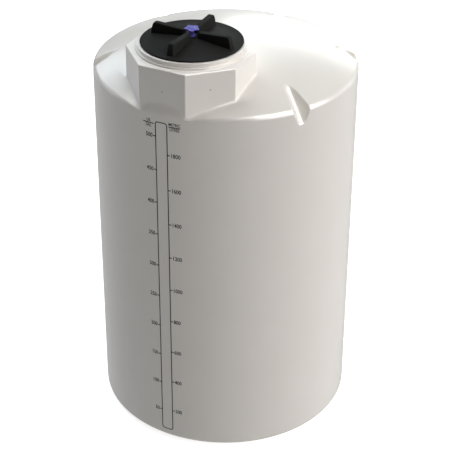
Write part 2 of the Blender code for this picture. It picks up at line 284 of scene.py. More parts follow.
looks = {
    "naturalPolyethylene": dict(
        plain=(0.815, 0.79, 0.745), marked=(0.76, 0.735, 0.685), mottle=0.5, marks=0.10,
        roughness=(0.24, 0.30), grainScale=900, peelScale=220,
        bump=0.05, bumpDistance=0.0004, ior=1.51, specular=0.5),
    "blackPolyethylene": dict(
        plain=(0.0155, 0.0155, 0.0148), marked=(0.021, 0.021, 0.020), mottle=0.4, marks=0.25,
        roughness=(0.50, 0.66), grainScale=1100, peelScale=300,
        bump=0.25, bumpDistance=0.0006, ior=1.49, specular=0.02),
    "sealRubber": dict(
        plain=(0.012, 0.012, 0.012), marked=(0.020, 0.019, 0.018), mottle=0.4, marks=0.3,
        roughness=(0.65, 0.85), grainScale=1400, peelScale=400,
        bump=0.3, bumpDistance=0.0004, ior=1.5, specular=0.03),
    "bluePlastic": dict(
        plain=(0.075, 0.066, 0.36), marked=(0.10, 0.09, 0.40), mottle=0.4, marks=0.2,
        roughness=(0.30, 0.42), grainScale=1500, peelScale=420,
        bump=0.12, bumpDistance=0.0004, ior=1.5, specular=0.15),
    # painted shade: the drill marks' floors are dark grey in place of the shade inside their hollows
    "dimpleShadePaint": dict(
        plain=(0.27, 0.265, 0.25), marked=(0.33, 0.32, 0.30), mottle=0.5, marks=0.1,
        roughness=(0.4, 0.5), grainScale=900, peelScale=220,
        bump=0.12, bumpDistance=0.0004, ior=1.51, specular=0.3),
    "blackInk": dict(
        plain=(0.012, 0.012, 0.013), marked=(0.03, 0.03, 0.03), mottle=0.5, marks=0.5,
        roughness=(0.5, 0.66), grainScale=2600, peelScale=900,
        bump=0.15, bumpDistance=0.0002, ior=1.45, specular=0.15),
}
materials = {name: plasticMaterial(name, look) for name, look in looks.items()}
print("materials made:", len(materials))

thread = dict(
    pitch=0.012,
    boreRise=0.0020, plugRise=0.0022,
    ease=0.004,  # each end of the thread rises over this height
    boreEnds=(0.004, 0.008),  # how far it stays from the bore's lower and upper end
    plugEnds=(0.003, 0.006),  # and from the plug's
)


def threadRidge(phi, z, low, high):
    # A rounded helical ridge, 1 on its crest: cos^4 of pi (z / pitch - phi / 2 pi), faded out
    # towards the heights low and high.
    fade = np.clip(np.minimum(high - z, z - low) / thread["ease"], 0, 1)
    return fade * np.cos(np.pi * (z / thread["pitch"] - phi / (2 * np.pi))) ** 4


shell = dict(
    radius=0.6094,  # the print stands 0.2 mm proud, at the CAD wall's 0.6096
    wall=0.006,
    heelRadius=0.0285,
    shoulderZ=1.7475,  # where the straight wall ends
    shoulderRadius=0.029,
    domeSlope=deg(23),  # where the dome meets the shoulder
    # per groove: azimuth on the wall, azimuth it runs out towards, height where its floor leaves
    # the wall, slope of its floor; angles in degrees
    grooves=((59.8, 54.2, 1.696, 41.0), (120.7, 99.2, 1.711, 40.5), (180, 180, 1.7045, 38.0),
             (239.3, 260.8, 1.711, 40.5), (301.2, 329.4, 1.726, 33.6)),
    grooveFloor=0.028,  # radius of the round floor
    grooveHalfAngle=deg(27),  # the flanks lean this far out
    grooveRounding=0.0060,  # of the rim
    grooveZone=(0.12, 0.25),  # cut at most this far beside its line, at least this far out
    collarFront=0.270, collarRear=0.250,  # distances of its faces from the manway's middle
    collarEdge=0.007,  # rounding of its upright corners
    collarTopZ=1.958,
    deckEdge=0.0054,  # rounding of the deck's rim
    footFillet=0.0105, filletLeast=0.002,
    filletRoom=0.55,  # the fillet takes at most this share of the way to the wall
    # in front, between these directions from the manway, the collar runs down into the wall
    apronLowZ=1.742, apronTurns=deg((22.2, 23.6)),
    apronBend=4.5,  # height of its outward bend, in widths of the gap to the wall
    # the collar's foot lies under the dome's own line, and in front over it: direction, drop
    footTurns=deg((0, 15, 22.5, 28, 33, 40, 47, 54, 68)),
    footDrops=(-0.050, -0.045, 0.011, 0.0160, 0.0146, 0.011, 0.008, 0.0055, 0.0),
    dropPower=0.6,
    neckRadius=0.2388, neckBore=0.207, neckTopZ=1.9845, neckBottomZ=1.936, neckEdge=0.002,
    ledge=0.0075, ledgeHeight=0.009, ledgeFillet=0.0008,
    innerEdge=0.001,  # rounding of the bore's cut end and the collar's inner corners
    # the mesh's columns, in degrees: steps in front and elsewhere, over the grooves, where the
    # collar's upright edges are, and the least step of all
    frontSpan=40, frontStep=1.5, rearStep=2.5,
    grooveSpan=6, grooveStep=0.25,
    cornerSteps=(-1.3, -0.9, -0.55, -0.25, 0.05, 0.35, 0.7, 1.1),
    leastStep=0.12,
    grooveRun=0.165,  # the columns follow the grooves this far inwards,
    runShare=0.75, runEase=0.02,  # but at most this share of the way to the collar,
    runLeast=0.05,  # and at least this far, or half way
    runBend=0.35,  # then they turn within this share of the rest
    # the mesh's rows, from the base up, then back inside
    baseRings=(0.2, 0.4),
    wallHeights=(0.4, 0.9, 1.4, 1.655),
    closeZ=1.694, closeRows=18,  # close rows from here up to the shoulder
    domeSteps=(56, 12), roofSteps=(16, 5),
    innerHeights=(1.738, 1.66, 7), innerWallZ=0.9, innerRing=0.3,
)


def shellColumns():
    # Wall azimuths of the grid's columns, and their directions phi from the manway. An upright
    # edge of the collar is seen from the manway along u at the wall's point (0, manwayY) + t u,
    # t = -b + sqrt(b^2 - manwayY^2 + radius^2), b = manwayY u_y.
    s = shell
    front = s["frontSpan"]
    base = join(np.arange(-front, front, s["frontStep"]), np.arange(front, 360 - front, s["rearStep"]))
    near = np.arange(-s["grooveSpan"], s["grooveSpan"] + 0.01, s["grooveStep"])
    corners = collarCorners(0.0)
    seen = np.degrees(np.arctan2(corners[:, 0], -corners[:, 1]))
    u = around(deg(seen[:, None] + np.array(s["cornerSteps"])).ravel())
    b = manwayY * u[:, 1]
    t = -b + np.sqrt(b ** 2 - manwayY ** 2 + s["radius"] ** 2)
    edges = np.degrees(np.arctan2(t * u[:, 0], -(manwayY + t * u[:, 1])))
    azimuth = np.sort(np.concatenate([base, edges] + [g[0] + near for g in s["grooves"]]) % 360)
    kept = [azimuth[0]]
    for value in azimuth[1:]:
        if value - kept[-1] > s["leastStep"]:
            kept.append(value)
    azimuth = deg(np.array(kept))
    wall = s["radius"] * around(azimuth)
    return azimuth, np.arctan2(wall[:, 0], -(wall[:, 1] - manwayY))


def collarFaces():
    # The collar's eight faces: their directions and distances from the manway's middle.
    s = shell
    reach = np.array([s["collarFront"]] * 3 + [s["collarRear"]] * 3 + [s["collarFront"]] * 2)
    return np.arange(8) * np.pi / 4, reach


def collarCorners(grow):
    # Corner k is where face k, n_k.p = d_k, meets face k + 1: d_k n_k + e_k m_k, with m_k along
    # the face and e_k = (d_(k+1) - d_k cos 45) / sin 45.
    angles, d = collarFaces()
    d = d + grow
    e = (np.roll(d, -1) - d * np.cos(np.pi / 4)) / np.sin(np.pi / 4)
    return (d[:, None] * around(angles) + e[:, None] * sideways(angles))[:, :2]


def collarRadius(phi, grow, edge):
    # Distance from the manway's middle to the collar's rounded outline in directions phi: the
    # nearest face, d_k / cos(phi - a_k), or the corner's circle u.q + sqrt((u.q)^2 - |q|^2 + edge^2)
    # between the points where that circle touches its two faces.
    angles, reach = collarFaces()
    facing = np.cos(phi[:, None] - angles)
    result = np.where(facing > 0.3, (reach + grow) / np.maximum(facing, 0.3), 9.0).min(1)
    u = around(phi)[:, :2]
    for q, angle in zip(collarCorners(grow - edge), angles):
        touch = q + edge * around(np.array([angle, angle + np.pi / 4]))[:, :2]
        first, last = np.arctan2(touch[:, 0], -touch[:, 1])
        dot = u @ q
        inside = dot ** 2 - q @ q + edge ** 2
        within = ((phi - first) % (2 * np.pi) <= (last - first) % (2 * np.pi)) & (inside > 0)
        result = np.where(within, dot + np.sqrt(np.maximum(inside, 0)), result)
    return result


def collarRow(phi, grow, edge, height):
    # The collar's outline, grown, at one height.
    return turned(collarRadius(phi, grow, edge), height, phi)


def topCircles():
    # Radius of the shoulder's ring, radius and middle height of the dome's sphere, and the arc
    # lengths from the crown to the dome's and the shoulder's ends.
    s = shell
    small, slope = s["shoulderRadius"], s["domeSlope"]
    ring = s["radius"] - small
    dome = ring / np.sin(slope) + small
    middleZ = s["shoulderZ"] - (dome - small) * np.cos(slope)
    return ring, dome, middleZ, dome * slope, dome * slope + small * (np.pi / 2 - slope)


def topProfile(p, inset):
    # Radius, height and outward normal of the top at arc length p from the crown, moved inward
    # by inset. Dome: a sphere; shoulder: a torus edge; below: the wall.
    s = shell
    ring, dome, middleZ, domeEnd, wallStart = topCircles()
    small = s["shoulderRadius"]
    onDome = p < domeEnd
    slope = np.where(onDome, p / dome, np.minimum(s["domeSlope"] + (p - domeEnd) / small, np.pi / 2))
    nr, nz = np.sin(slope), np.cos(slope)
    r = np.where(onDome, dome * nr, ring + small * nr)
    z = np.where(onDome, middleZ + dome * nz,
                 s["shoulderZ"] + small * nz - np.maximum(p - wallStart, 0))
    return r - inset * nr, z - inset * nz, nr, nz


def topArcLength(r):
    # The inverse of topProfile's radius: dome asin(r / dome), or domeEnd + small (tilt - slope).
    small, slope = shell["shoulderRadius"], shell["domeSlope"]
    ring, dome, _, domeEnd, _ = topCircles()
    onDome = dome * np.arcsin(np.clip(r / dome, 0, 1))
    onShoulder = domeEnd + small * (np.arcsin(np.clip((r - ring) / small, 0, 1)) - slope)
    return np.where(r < dome * np.sin(slope), onDome, onShoulder)


def cutGrooves(points, grow):
    # Each groove is a U carried along a straight sloping line. A point stands h above that
    # line's plane and s beside it; where h is over the U's own height at s, the point is let
    # down along the plane's normal, with the rim rounded by smoothLower.
    g = shell
    radius, half, middle = g["grooveFloor"] + grow, g["grooveHalfAngle"], g["grooveFloor"]
    for angle, aim, height, slope in g["grooves"]:
        out, side = around(deg(aim)), sideways(deg(aim))
        normal = np.sin(deg(slope)) * out + np.cos(deg(slope)) * up
        offset = points - turned(g["radius"], height, deg(angle), 0.0)
        s = np.abs(offset @ side)
        h = offset @ normal
        # floor: a circle about height grooveFloor; flanks: its tangents, leaning out by half
        touch = radius * np.cos(half)
        floor = middle - np.sqrt(np.maximum(radius ** 2 - s ** 2, 0))
        flank = middle - radius * np.sin(half) + (s - touch) / np.tan(half)
        lowered = smoothLower(h, np.where(s < touch, floor, flank), g["grooveRounding"])
        near = (s < g["grooveZone"][0]) & (points @ out > g["grooveZone"][1])
        points = points + np.where(near, lowered - h, 0.0)[..., None] * normal
    return points


def domeRows(foot, azimuth, outerSteps, innerSteps, inset):
    # Rows from the wall to the collar's foot, laid out in the plane where a point of the top
    # stands at its azimuth and its arc length p from the crown. A column first runs straight
    # along its neighbour grooves' direction, then along the curve (1-t)^2 a + 2t(1-t) b + t^2 c.
    s = shell
    reach = np.hypot(foot[:, 0], foot[:, 1])
    end = foot[:, :2] * (topArcLength(reach) / reach)[:, None]
    far = topCircles()[-1] * around(azimuth)[:, :2]
    knots = np.array([(0, 0)] + [g[:2] for g in s["grooves"]] + [(360, 360)])
    aim = -around(deg(np.interp(np.degrees(azimuth) % 360, knots[:, 0], knots[:, 1])))[:, :2]
    whole = np.hypot(*(end - far).T)
    run = smoothLower(s["grooveRun"], s["runShare"] * whole, s["runEase"])
    run = np.maximum(run, np.minimum(0.5 * whole, s["runLeast"]))
    turn = far + np.minimum(run, s["runShare"] * whole)[:, None] * aim
    bend = turn + s["runBend"] * np.hypot(*(end - turn).T)[:, None] * aim
    out = np.linspace(0, 1, outerSteps + 1)[:, None, None]
    t = np.linspace(0, 1, innerSteps + 1)[1:, None, None]
    plane = join(far + out * (turn - far), (1 - t) ** 2 * turn + 2 * t * (1 - t) * bend + t ** 2 * end)
    p = np.hypot(plane[..., 0], plane[..., 1])
    r, z, _, _ = topProfile(p, inset)
    return np.concatenate([plane * (r / np.maximum(p, 1e-9))[..., None], z[..., None]], -1)


def filletRows(phi):
    # The fillet at the collar's foot, a circle that touches the collar's wall and the dome's
    # tangent z0 + slope x, x out from the collar: its middle is at x = radius, radius
    # sqrt(1 + slope^2) over the tangent.
    s = shell
    collar = collarRadius(phi, 0.0, s["collarEdge"])
    foot = turned(collar, 0.0, phi)
    reach = np.hypot(foot[:, 0], foot[:, 1])
    _, z0, nr, nz = topProfile(topArcLength(reach), 0.0)
    slope = -nr / np.maximum(nz, 0.2) * (foot[:, :2] * around(phi)[:, :2]).sum(1) / reach
    last = 2 * np.pi + np.arctan2(-1.0, slope)
    radius = s["filletRoom"] * (s["radius"] - reach) / (1 + np.cos(last))
    radius = np.clip(radius, s["filletLeast"], s["footFillet"])
    middleZ = z0 + radius * (slope + np.sqrt(1 + slope ** 2))
    t = np.pi + (last - np.pi) * np.linspace(1, 0, 9)[:, None]
    return turned(collar + radius * (1 + np.cos(t)), middleZ + radius * np.sin(t), phi)


def footDrop(phi):
    # How far the foot lies under the dome's own line: straight between the footDrops.
    return np.interp(fromFront(phi), shell["footTurns"], shell["footDrops"])


def topRows(azimuth, phi):
    # The close rows of the wall, the shoulder and dome with the grooves cut in, and the fillet.
    s = shell
    fillet = filletRows(phi)
    wallZ = np.linspace(s["closeZ"], s["shoulderZ"], s["closeRows"] + 1)[:-1]
    top = cutGrooves(join(turned(s["radius"], wallZ[:, None], azimuth, 0.0),
                          domeRows(fillet[0], azimuth, *s["domeSteps"], 0.0)), 0.0)
    # the fillet's outer edge is a hair off the dome, whose last five rows are eased to it
    ease = (np.linspace(0, 1, 5) ** 2)[:, None]
    top[-5:, :, 2] += ease * (fillet[0, :, 2] - top[-1, :, 2])
    # z falls by drop(phi) v^dropPower, v from 0 at the shoulder's lower end to 1 at the fillet
    v = np.linspace(0, 1, len(top) - len(wallZ))[:-1, None]
    top[len(wallZ):-1, :, 2] -= v ** s["dropPower"] * footDrop(phi)
    fillet[..., 2] -= footDrop(phi)
    rows = join(top[:-1], fillet)
    low = int((wallZ <= s["apronLowZ"]).sum())
    rows[low:] = addApron(rows[low:], phi)
    return rows


def addApron(rows, phi):
    # In front there is no room for the dome: the collar's face runs down and bends out into the
    # wall, plan = wall + (collar - wall) smoothStep(x), x = height over the wall / height of the
    # bend. Between the two apronTurns it fades into the rows as they were.
    s = shell
    u = np.linspace(0, 1, len(rows))[:, None, None]
    rise = rows[-1:, :, 2:] - rows[:1, :, 2:]
    gap = s["radius"] - np.hypot(rows[-1:, :, :1], rows[-1:, :, 1:2])
    plan = smoothStep(np.clip(u * rise / np.minimum(s["apronBend"] * gap, rise), 0, 1))
    apron = rows[:1] + (rows[-1:] - rows[:1]) * np.concatenate([plan, plan, u + 0 * plan], -1)
    start, end = s["apronTurns"]
    weight = 1 - smoothStep(np.clip((fromFront(phi) - start) / (end - start), 0, 1))
    return rows + weight[:, None] * (apron - rows)


def deckRows(phi, inner):
    # The deck, from its rim, a quarter circle of radius deckEdge, in to the row inner.
    s = shell
    edge, rows = s["deckEdge"], []
    for t in np.linspace(0, np.pi / 2, 6):
        pull = edge * (1 - np.cos(t))
        rows.append(collarRow(phi, -pull, s["collarEdge"] - pull, s["collarTopZ"] - edge * (1 - np.sin(t))))
    rows += [rows[-1] + share * (inner - rows[-1]) for share in (0.33, 0.67)]
    return np.array(rows)


def neckRows(phi):
    # Over the ledge, up the neck and in over its top, down the bore, radius = neckBore - rise *
    # ridge, round its cut end, and up inside the neck's wall and back under the deck.
    s = shell
    edge, small, cut, wall = s["neckEdge"], s["ledgeFillet"], s["innerEdge"], s["wall"]
    neck, bore, deck = s["neckRadius"], s["neckBore"], s["collarTopZ"]
    top, low = s["neckTopZ"], s["neckBottomZ"]
    ledgeR, ledgeZ = neck + s["ledge"], deck + s["ledgeHeight"]
    over = join(
        arc(ledgeR + small, deck + small, small, -np.pi / 2, -np.pi, 3),
        arc(ledgeR - edge, ledgeZ - edge, edge, 0, np.pi / 2, 4),
        arc(neck + small, ledgeZ + small, small, -np.pi / 2, -np.pi, 3),
        arc(neck - edge, top - edge, edge, 0, np.pi / 2, 5),
        arc(bore + edge, top - edge, edge, np.pi / 2, np.pi, 5))
    z = np.linspace(top - 2 * edge, low + 2 * cut, 16)[:, None]
    ridge = threadRidge(phi, z, low + thread["boreEnds"][0], top - thread["boreEnds"][1])
    under = np.array([[bore + cut, low], [bore + wall - cut, low], [bore + wall, low + cut],
                      [bore + wall, top - wall], [neck - wall, top - wall], [neck - wall, deck - wall]])
    return join(turnedGrid(over, phi), turned(bore - thread["boreRise"] * ridge, z, phi),
                turnedGrid(under, phi))


def insideRows(azimuth, phi):
    # The collar, dome, wall and floor again, a wall's thickness further in.
    s = shell
    inset, edge, heelRadius = s["wall"], s["innerEdge"], s["heelRadius"]
    wallR = s["radius"] - inset
    ceiling = collarRow(phi, -inset, edge, s["collarTopZ"] - inset)
    roof = domeRows(collarRow(phi, -inset, edge, 0.0), azimuth, *s["roofSteps"], inset)[::-1]
    v = np.linspace(1, 0, len(roof))[:, None]
    roof[..., 2] -= v ** s["dropPower"] * np.maximum(footDrop(phi), 0)
    below = turned(wallR, np.linspace(*s["innerHeights"])[:, None], azimuth, 0.0)
    heel = arc(s["radius"] - heelRadius, heelRadius, heelRadius - inset, 0, -np.pi / 2, 5)
    floor = join([[wallR, s["innerWallZ"]]], heel, [[s["innerRing"], inset]])
    return join(ceiling[None], cutGrooves(join(roof, below), inset), turnedGrid(floor, azimuth, 0.0))


def makeShell():
    # One closed surface, from the middle of the base outwards, up the wall, over the dome, up the
    # collar and neck, down the bore, and back along the inside to the middle of the floor.
    s = shell
    azimuth, phi = shellColumns()
    heel = arc(s["radius"] - s["heelRadius"], s["heelRadius"], s["heelRadius"], -np.pi / 2, 0, 8)
    lower = join([[r, 0.0] for r in s["baseRings"]], heel, [[s["radius"], z] for z in s["wallHeights"]])
    neck = neckRows(phi)
    points = join(turnedGrid(lower, azimuth, 0.0), topRows(azimuth, phi),
                  deckRows(phi, neck[0]), neck, insideRows(azimuth, phi))
    print("tank shell:", len(azimuth), "columns,", len(points), "rows")
    return cappedPiece("tankShell", points, np.array([0 * up, s["wall"] * up]), 70.0)


tankNodes = frame["record"]["behaviour"]["bodies"]["tank"]
finishPiece(makeShell(), "naturalPolyethylene", "tank", "tank_shell", *tankNodes)


lid = dict(
    under=1.9871,  # flange's underside
    over=1.9921,  # flange's top
    radius=0.2268,
    flatRadius=0.190, bossRadius=0.034, rise=0.019,
    bendWidth=0.002,  # rounding of the cone's two bends
    wall=0.005,
    ventHole=0.008,
    plugRadius=0.2000, plugDepth=0.040, plugEdge=0.001,
    topRings=(0.05, 0.06, 0.175, 0.18),  # where the top's rings change from close to wide and back
    belowRadius=0.189,  # outermost ring of the underside inside the plug
    columns=224,
)


def lidTop(r):
    # Height of the lid's top at radius r: flat outside flatRadius, a straight cone inside it, and
    # flat again over the boss, with both bends rounded.
    l = lid
    cone = l["over"] + l["rise"] * (l["flatRadius"] - r) / (l["flatRadius"] - l["bossRadius"])
    raised = -smoothLower(-cone, -l["over"], l["bendWidth"])
    return smoothLower(raised, l["over"] + l["rise"], l["bendWidth"])


def makeLidDisc():
    # A closed profile turned about the manway's middle; the plug's outside carries a helical
    # ridge, radius = plugRadius + rise * ridge.
    l = lid
    under, low, edge = l["under"], l["under"] - l["plugDepth"], l["plugEdge"]
    half, inner = (l["over"] - under) / 2, l["plugRadius"] - l["wall"]
    closeEnd, wideStart, wideEnd, closeStart = l["topRings"]
    rTop = join(np.linspace(l["ventHole"], closeEnd, 10), np.linspace(wideStart, wideEnd, 10),
                np.linspace(closeStart, l["radius"] - half, 9))
    rim = arc(l["radius"] - half, under + half, half, np.pi / 2, -np.pi / 2, 8)[1:]
    plugZ = np.linspace(under - edge, low + edge, 22)
    foot = [[l["plugRadius"] - edge, low], [inner + edge, low], [inner, low + edge],
            [inner, under - edge]]
    rBelow = np.linspace(l["belowRadius"], l["ventHole"], 12)
    profile = join(
        np.stack([rTop, lidTop(rTop)], -1), rim,
        np.stack([np.full_like(plugZ, l["plugRadius"]), plugZ], -1), foot,
        np.stack([rBelow, lidTop(rBelow) - l["wall"]], -1))
    a = fullTurn(l["columns"])
    points = turnedGrid(profile, a)
    first = len(rTop) + len(rim)
    ridge = threadRidge(a, plugZ[:, None], low + thread["plugEnds"][0], under - thread["plugEnds"][1])
    points[first:first + len(plugZ)] += thread["plugRise"] * ridge[..., None] * around(a)
    return putMesh("lidDisc", points, gridFaces(len(profile), l["columns"], True), [], 45.0)


finishPiece(makeLidDisc(), "blackPolyethylene", "lid", "lid", "lid_plate", "lid_thread_ring")

lug = dict(
    inner=0.036, outer=0.1975,
    topInnerZ=2.036, topOuterZ=2.044,
    topHalfWidth=0.0130,
    draft=deg(4),  # each side leans in by this
    lean=deg(11),  # and the outer end by this
    topEdge=0.0028,  # rounding along the top
    outerCorner=0.012,  # rounding of the top's outer end, down from the top,
    outerPull=0.9,  # and inwards, as a share of that
    footFlare=0.0035,
    corner=0.0040,  # rounding of its upright corners, seen from above
    sunk=0.0015,
    levels=(0.3, 0.5, 0.7),  # rows between the foot's flare and the top's rounding
    loopSteps=(5, 22, 4),  # steps of a corner, a side and an end
)


def roundedLoop(cornerSteps, sideSteps, endSteps):
    # A rounded rectangle as four rows: place along its straight part and reach into the corner's
    # circle, for the length, then the same for the width. x = ex (L - c) + ax c, y likewise.
    t = np.linspace(0, np.pi / 2, cornerSteps + 1)
    c, s, one = np.cos(t), np.sin(t), np.ones_like(t)
    side = np.linspace(1, -1, sideSteps + 1)[1:-1]
    end = np.linspace(1, -1, endSteps + 1)[1:-1]
    flat, level = np.ones_like(side), np.ones_like(end)
    return np.concatenate([
        [one, c, one, s], [side, 0 * side, flat, flat],
        [-one, -s, one, c], [-level, -level, end, 0 * end],
        [-one, -c, -one, -s], [-side, 0 * side, -flat, -flat],
        [one, s, -one, -c], [level, level, -end, 0 * end]], 1)


def makeLug(index):
    # Rounded rectangles stacked from foot to top. Each row's level runs from 0 at the lid's
    # surface to 1 at the sloping top; a row is drawn out by a quarter circle at the foot and in
    # by a quarter ellipse at the top, and its half width is the top's + tan(draft) * depth.
    g = lug
    height = g["topOuterZ"] - lid["over"]
    foot, turn = np.linspace(0, np.pi / 2, 7), np.linspace(0, np.pi / 2, 8)
    plainTop, plainFoot = np.zeros(len(g["levels"]) + 8), np.zeros(7 + len(g["levels"]))
    level = join(g["footFlare"] * (1 - np.cos(foot)) / height, g["levels"], np.ones(8))[:, None]
    flare = join(g["footFlare"] * (1 - np.sin(foot)), plainTop)[:, None]
    over = join(plainFoot, 1 - np.cos(turn))[:, None]
    drop = join(plainFoot, 1 - np.sin(turn))[:, None]

    ex, ax, ey, ay = roundedLoop(*g["loopSteps"])
    corner, end = g["corner"], g["outerCorner"]
    innerEnd = g["inner"] - flare + g["topEdge"] * over
    outerEnd = g["outer"] - height * level * np.tan(g["lean"]) + flare - end * over * g["outerPull"]
    r = innerEnd + corner + (ex + 1) / 2 * (outerEnd - innerEnd - 2 * corner) + ax * corner
    topZ = g["topInnerZ"] + (g["topOuterZ"] - g["topInnerZ"]) * (r - g["inner"]) / (g["outer"] - g["inner"])
    outerness = np.clip((r - outerEnd) / end + 1, 0, 1) ** 2
    topZ = topZ - drop * (g["topEdge"] + (end - g["topEdge"]) * outerness)
    footZ = lidTop(np.hypot(r, ey * g["topHalfWidth"])) - g["sunk"]
    z = footZ + level * (topZ - footZ)
    half = g["topHalfWidth"] + (g["topOuterZ"] - z) * np.tan(g["draft"]) + flare - g["topEdge"] * over
    side = ey * (half - corner) + ay * corner
    azimuth = index * np.pi / 2
    points = turned(r, z, azimuth) + side[..., None] * sideways(azimuth)
    poles = np.stack([points[0].mean(0), points[-1].mean(0)])
    return cappedPiece(f"lidLug{index + 1}", points, poles, 60.0)


for number in range(4):
    finishPiece(makeLug(number), "blackPolyethylene", "lid", "lid", f"lid_lug_{number + 1}")
print("lid made")

gasket = dict(inner=0.2095, outer=0.2245, low=1.9848, thickness=0.0020, columns=192)


def makeGasket():
    # A flat ring with round edges: a stadium section turned about the manway's middle.
    g = gasket
    half = g["thickness"] / 2
    section = join(arc(g["outer"] - half, g["low"] + half, half, -np.pi / 2, np.pi / 2, 6),
                   arc(g["inner"] + half, g["low"] + half, half, np.pi / 2, 1.5 * np.pi, 6))
    return turnedPiece("lidSeal", section, g["columns"], 60.0)


finishPiece(makeGasket(), "sealRubber", "lid_seal", "lid_gasket", "lid_gasket")

vent = dict(
    foot=2.0114, footRadius=0.017, footHeight=0.004, footSunk=0.0008, footEdge=0.001,
    stemRadius=0.0095, stemTopRadius=0.0125, stemFillet=0.002, stemPower=1.6,
    stemEdge=0.0005,  # height of the bevel round the stem's top
    bore=0.0060,
    capUnder=2.0410, capTop=2.0480,
    capGap=0.0003,  # between the stem's top and the cap
    capRadius=0.0305, lobes=5, lobeDepth=0.0042, lobeTurn=deg(20),
    capRim=0.085,  # the rim is rounded over this share of the radius
    capUnderShares=(0.35, 0.7),  # rings of the underside, as shares of the outline
    # rings of the top, a shallow dish round a raised hub: share of the outline, depth
    capTopRows=((0.80, 0.0004), (0.62, 0.0012), (0.45, 0.0012), (0.40, 0.0004), (0.36, 0.0),
                (0.2, 0.0)),
    columns=120,
)


def makeVentStem():
    # Foot ring, stem and plain bore as one closed turned profile; the stem's radius runs from
    # stemRadius to stemTopRadius with the power stemPower of the height.
    v = vent
    low, high = v["foot"] - v["footSunk"], v["capUnder"] - v["capGap"]
    footTop, edge, fillet = v["foot"] + v["footHeight"], v["footEdge"], v["stemFillet"]
    heights = np.linspace(footTop + fillet, high - v["stemEdge"], 8)
    share = (heights - heights[0]) / (heights[-1] - heights[0])
    stem = v["stemRadius"] + (v["stemTopRadius"] - v["stemRadius"]) * share ** v["stemPower"]
    profile = join(
        [[v["bore"], low], [v["footRadius"], low]],
        arc(v["footRadius"] - edge, footTop - edge, edge, 0, np.pi / 2, 3),
        arc(v["stemRadius"] + fillet, footTop + fillet, fillet, -np.pi / 2, -np.pi, 3),
        np.stack([stem, heights], -1)[1:], [[v["stemTopRadius"] - edge, high], [v["bore"], high]])
    return turnedPiece("ventStem", profile, v["columns"], 45.0)


def makeVentCap():
    # A lobed knob: radius = (capRadius + lobeDepth cos(lobes a)) * share, rounded over at its rim,
    # with a slight dish round a raised hub on top.
    v = vent
    a = fullTurn(v["columns"])
    outline = v["capRadius"] + v["lobeDepth"] * np.cos(v["lobes"] * (a - v["lobeTurn"]))
    edge = (v["capTop"] - v["capUnder"]) / 2
    t = np.linspace(-np.pi / 2, np.pi / 2, 9)
    shares, depths = np.array(v["capTopRows"]).T
    share = join(v["capUnderShares"], 1 - v["capRim"] * (1 - np.cos(t)), shares)
    z = join([v["capUnder"]] * 2, v["capUnder"] + edge + edge * np.sin(t), v["capTop"] - depths)
    points = turned(share[:, None] * outline, z[:, None], a)
    poles = np.array([[0, manwayY, v["capUnder"]], [0, manwayY, v["capTop"]]])
    return cappedPiece("ventCap", points, poles, 50.0)


finishPiece(makeVentStem(), "bluePlastic", "lid", "vent", "vent_stem")
finishPiece(makeVentCap(), "bluePlastic", "lid", "vent", "vent_cap")
print("vent made")

dimple = dict(
    places=((0, 1.857), (45, 1.875)),  # the face's direction from the manway, in degrees; height
    # rings from the rim to the floor painted dark as the hollow's shade: radius, how far it stands out of
    # the face
    rings=((0.0050, -0.0004), (0.0050, 0.0), (0.0039, 0.0003), (0.0030, 0.00006), (0.0027, 0.00006)),
    columns=32,
)


def makeDimples():
    # A drill's start mark: a low ring round a floor painted dark, painted shade of the mark's hollow,
    # turned about the face's normal, with its back sunk into the collar's wall.
    radius, proud = np.array(dimple["rings"]).T
    columns = dimple["columns"]
    a = fullTurn(columns)[:, None]
    for number, (face, height) in enumerate(dimple["places"]):
        normal = around(deg(face))
        centre = turned(shell["collarFront"], height, deg(face))
        ring = np.cos(a) * sideways(deg(face)) + np.sin(a) * up
        points = centre + radius[:, None, None] * ring + proud[:, None, None] * normal
        poles = centre + proud[[0, -1], None] * normal
        piece = cappedPiece(f"drillDimple{number + 1}", points, poles, 60.0)
        finishPiece(piece, "naturalPolyethylene", "tank", "tank_shell")
        # the second material is painted shade, a dark grey for the shade in the mark's hollow
        piece.data.materials.append(materials["dimpleShadePaint"])
        # the floor painted dark as shade: the innermost band of quads and the last fan
        dark = np.zeros(len(piece.data.polygons), np.int32)
        dark[(len(radius) - 2) * columns:(len(radius) - 1) * columns] = 1
        dark[-columns:] = 1
        piece.data.polygons.foreach_set("material_index", dark)
    print("dimples made:", len(dimple["places"]))


makeDimples()

scale = dict(
    halfAngle=deg(2.63),  # the outline's side lines stand this far each side of the manway
    low=0.049, high=1.717,
    line=0.0046,  # width of the printed lines
    corner=0.012,
    skin=0.6096,  # outside of the ink
    depth=0.0003,  # how deep the ink's body reaches, into the plastic
    tick=0.013,
    textHeight=0.0205, textGap=0.0025,
    stretch=0.83, weight=0.018,  # the letters' width and added thickness
    capitals=0.72,  # height of the letters' capitals at size 1
    # side, step, last mark and cubic metres per unit: gallons on the left, litres on the right
    marks=((-1, 50, 500, 0.003785412), (1, 200, 1800, 0.001)),
    units=((-1, ("US", "GAL")), (1, ("METRIC", "LITRES"))),
    unitHeight=0.0140, unitGap=0.0085, unitRule=0.055, unitZ=1.705,
    unitLift=0.85,  # the words' middles, over and under the rule, in their height
    zPerCubicMetre=0.6096 / 0.69786, zAtEmpty=-0.6096 * 0.0084 / 0.69786,
)


def wrapFlat(x, z, depth):
    # A flat drawing wrapped on the wall: azimuth = x / skin, radius = skin - depth.
    return turned(scale["skin"] - depth, z, x / scale["skin"], 0.0)


